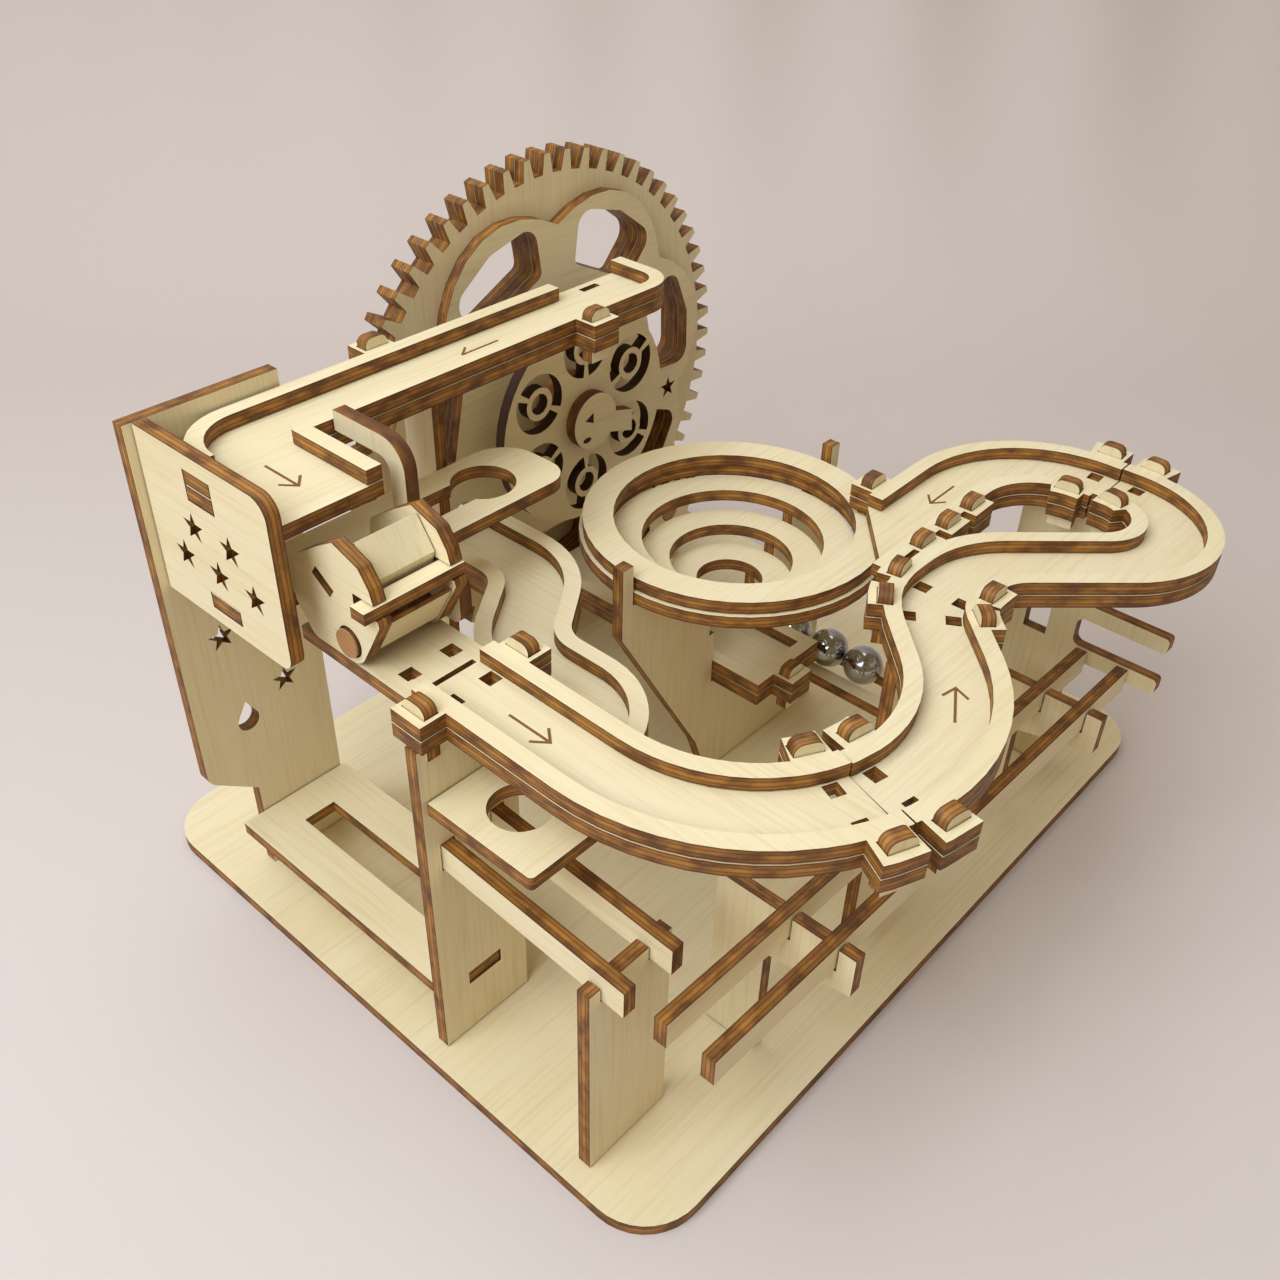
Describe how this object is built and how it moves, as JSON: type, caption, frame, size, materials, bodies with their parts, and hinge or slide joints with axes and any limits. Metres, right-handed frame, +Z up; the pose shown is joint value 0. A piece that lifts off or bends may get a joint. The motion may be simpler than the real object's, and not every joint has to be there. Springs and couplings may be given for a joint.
{
  "type": "wooden marble run kit",
  "caption": "Plywood marble run: a hand-cranked gear wheel with ball pockets lifts steel balls to curved tracks, a tipping bucket, a keyhole drop, rails and a stepped-ring funnel.",
  "frame": {"origin": "middle of the base plate's underside", "axes": "+X along the base's long side, from the star tower towards the far end; +Y from the long rails towards the gear wheel; +Z up"},
  "size_m": [0.2008, 0.1894, 0.1424],
  "materials": {
    "plywood": "bare laser-cut plywood, pale faces and burnt edges",
    "dowel": "bare round bar",
    "steel": "polished ball"
  },
  "bodies": {
    "frame": {"base_plate": "plywood", "rear_plate": "plywood", "star_panel": "plywood", "upper_floor": "plywood", "upper_front_wall": "plywood", "upper_rear_wall": "plywood", "upper_post": "plywood", "guide_hook": "plywood", "keyhole_plate": "plywood", "wavy_floor": "plywood", "wavy_left_wall": "plywood", "wavy_right_wall": "plywood", "mid_post": "plywood", "front_post": "plywood", "catch_plate": "plywood", "brace_plate": "plywood", "chute_rail_left": "plywood", "chute_rail_right": "plywood", "long_rail_inner": "plywood", "long_rail_outer": "plywood", "rail_post_near": "plywood", "rail_post_far": "plywood", "end_support": "plywood", "track_a_floor": "plywood", "track_a_left_wall": "plywood", "track_a_right_wall": "plywood", "track_b_floor": "plywood", "track_b_left_wall": "plywood", "track_b_right_wall": "plywood", "track_c_floor": "plywood", "track_c_left_wall": "plywood", "track_c_right_wall": "plywood", "track_d_floor": "plywood", "track_d_left_wall": "plywood", "track_d_right_wall": "plywood", "track_b_post": "plywood", "funnel_rim": "plywood", "funnel_under_rim": "plywood", "funnel_ring_two": "plywood", "funnel_ring_three": "plywood", "funnel_ring_four": "plywood", "funnel_support": "plywood", "tray_floor": "plywood", "tray_wall": "plywood", "return_lane": "plywood", "wheel_stand": "plywood"},
    "wheel": {"wheel_ring_disc": "plywood", "wheel_pocket_plate": "plywood", "wheel_gear_front": "plywood", "wheel_gear_rear": "plywood", "wheel_axle": "dowel"},
    "crank": {"drive_pinion": "plywood", "crank": "dowel"},
    "bucket": {"bucket_left_side": "plywood", "bucket_right_side": "plywood", "bucket_scoop": "plywood", "bucket_front_bar": "plywood"},
    "ball_front": {"ball_front": "steel"},
    "ball_middle": {"ball_middle": "steel"},
    "ball_rear": {"ball_rear": "steel"}
  },
  "joints": [
    {"name": "wheel_spin", "type": "hinge", "parent": "frame", "child": "wheel", "pos_m": [0.017, 0.062, 0.0805], "axis": [0, 1, 0], "continuous": true},
    {"name": "crank_spin", "type": "hinge", "parent": "frame", "child": "crank", "pos_m": [0.06538, 0.062, 0.02677], "axis": [0, 1, 0], "continuous": true},
    {"name": "bucket_tip", "type": "hinge", "parent": "frame", "child": "bucket", "pos_m": [-0.08, 0.003, 0.0926], "axis": [1, 0, 0], "range_deg": [0, 55]},
    {"name": "ball_front_roll", "type": "slide", "parent": "frame", "child": "ball_front", "axis": [0, 1, 0], "range_m": [0, 0.045]},
    {"name": "ball_middle_roll", "type": "slide", "parent": "frame", "child": "ball_middle", "axis": [0, 1, 0], "range_m": [0, 0.045]},
    {"name": "ball_rear_roll", "type": "slide", "parent": "frame", "child": "ball_rear", "axis": [0, 1, 0], "range_m": [0, 0.045]}
  ],
  "couplings": [
    {"joint": "crank_spin", "follows": "wheel_spin", "ratio": -5},
    {"joint": "ball_middle_roll", "follows": "ball_front_roll", "ratio": 1},
    {"joint": "ball_rear_roll", "follows": "ball_front_roll", "ratio": 1}
  ]
}
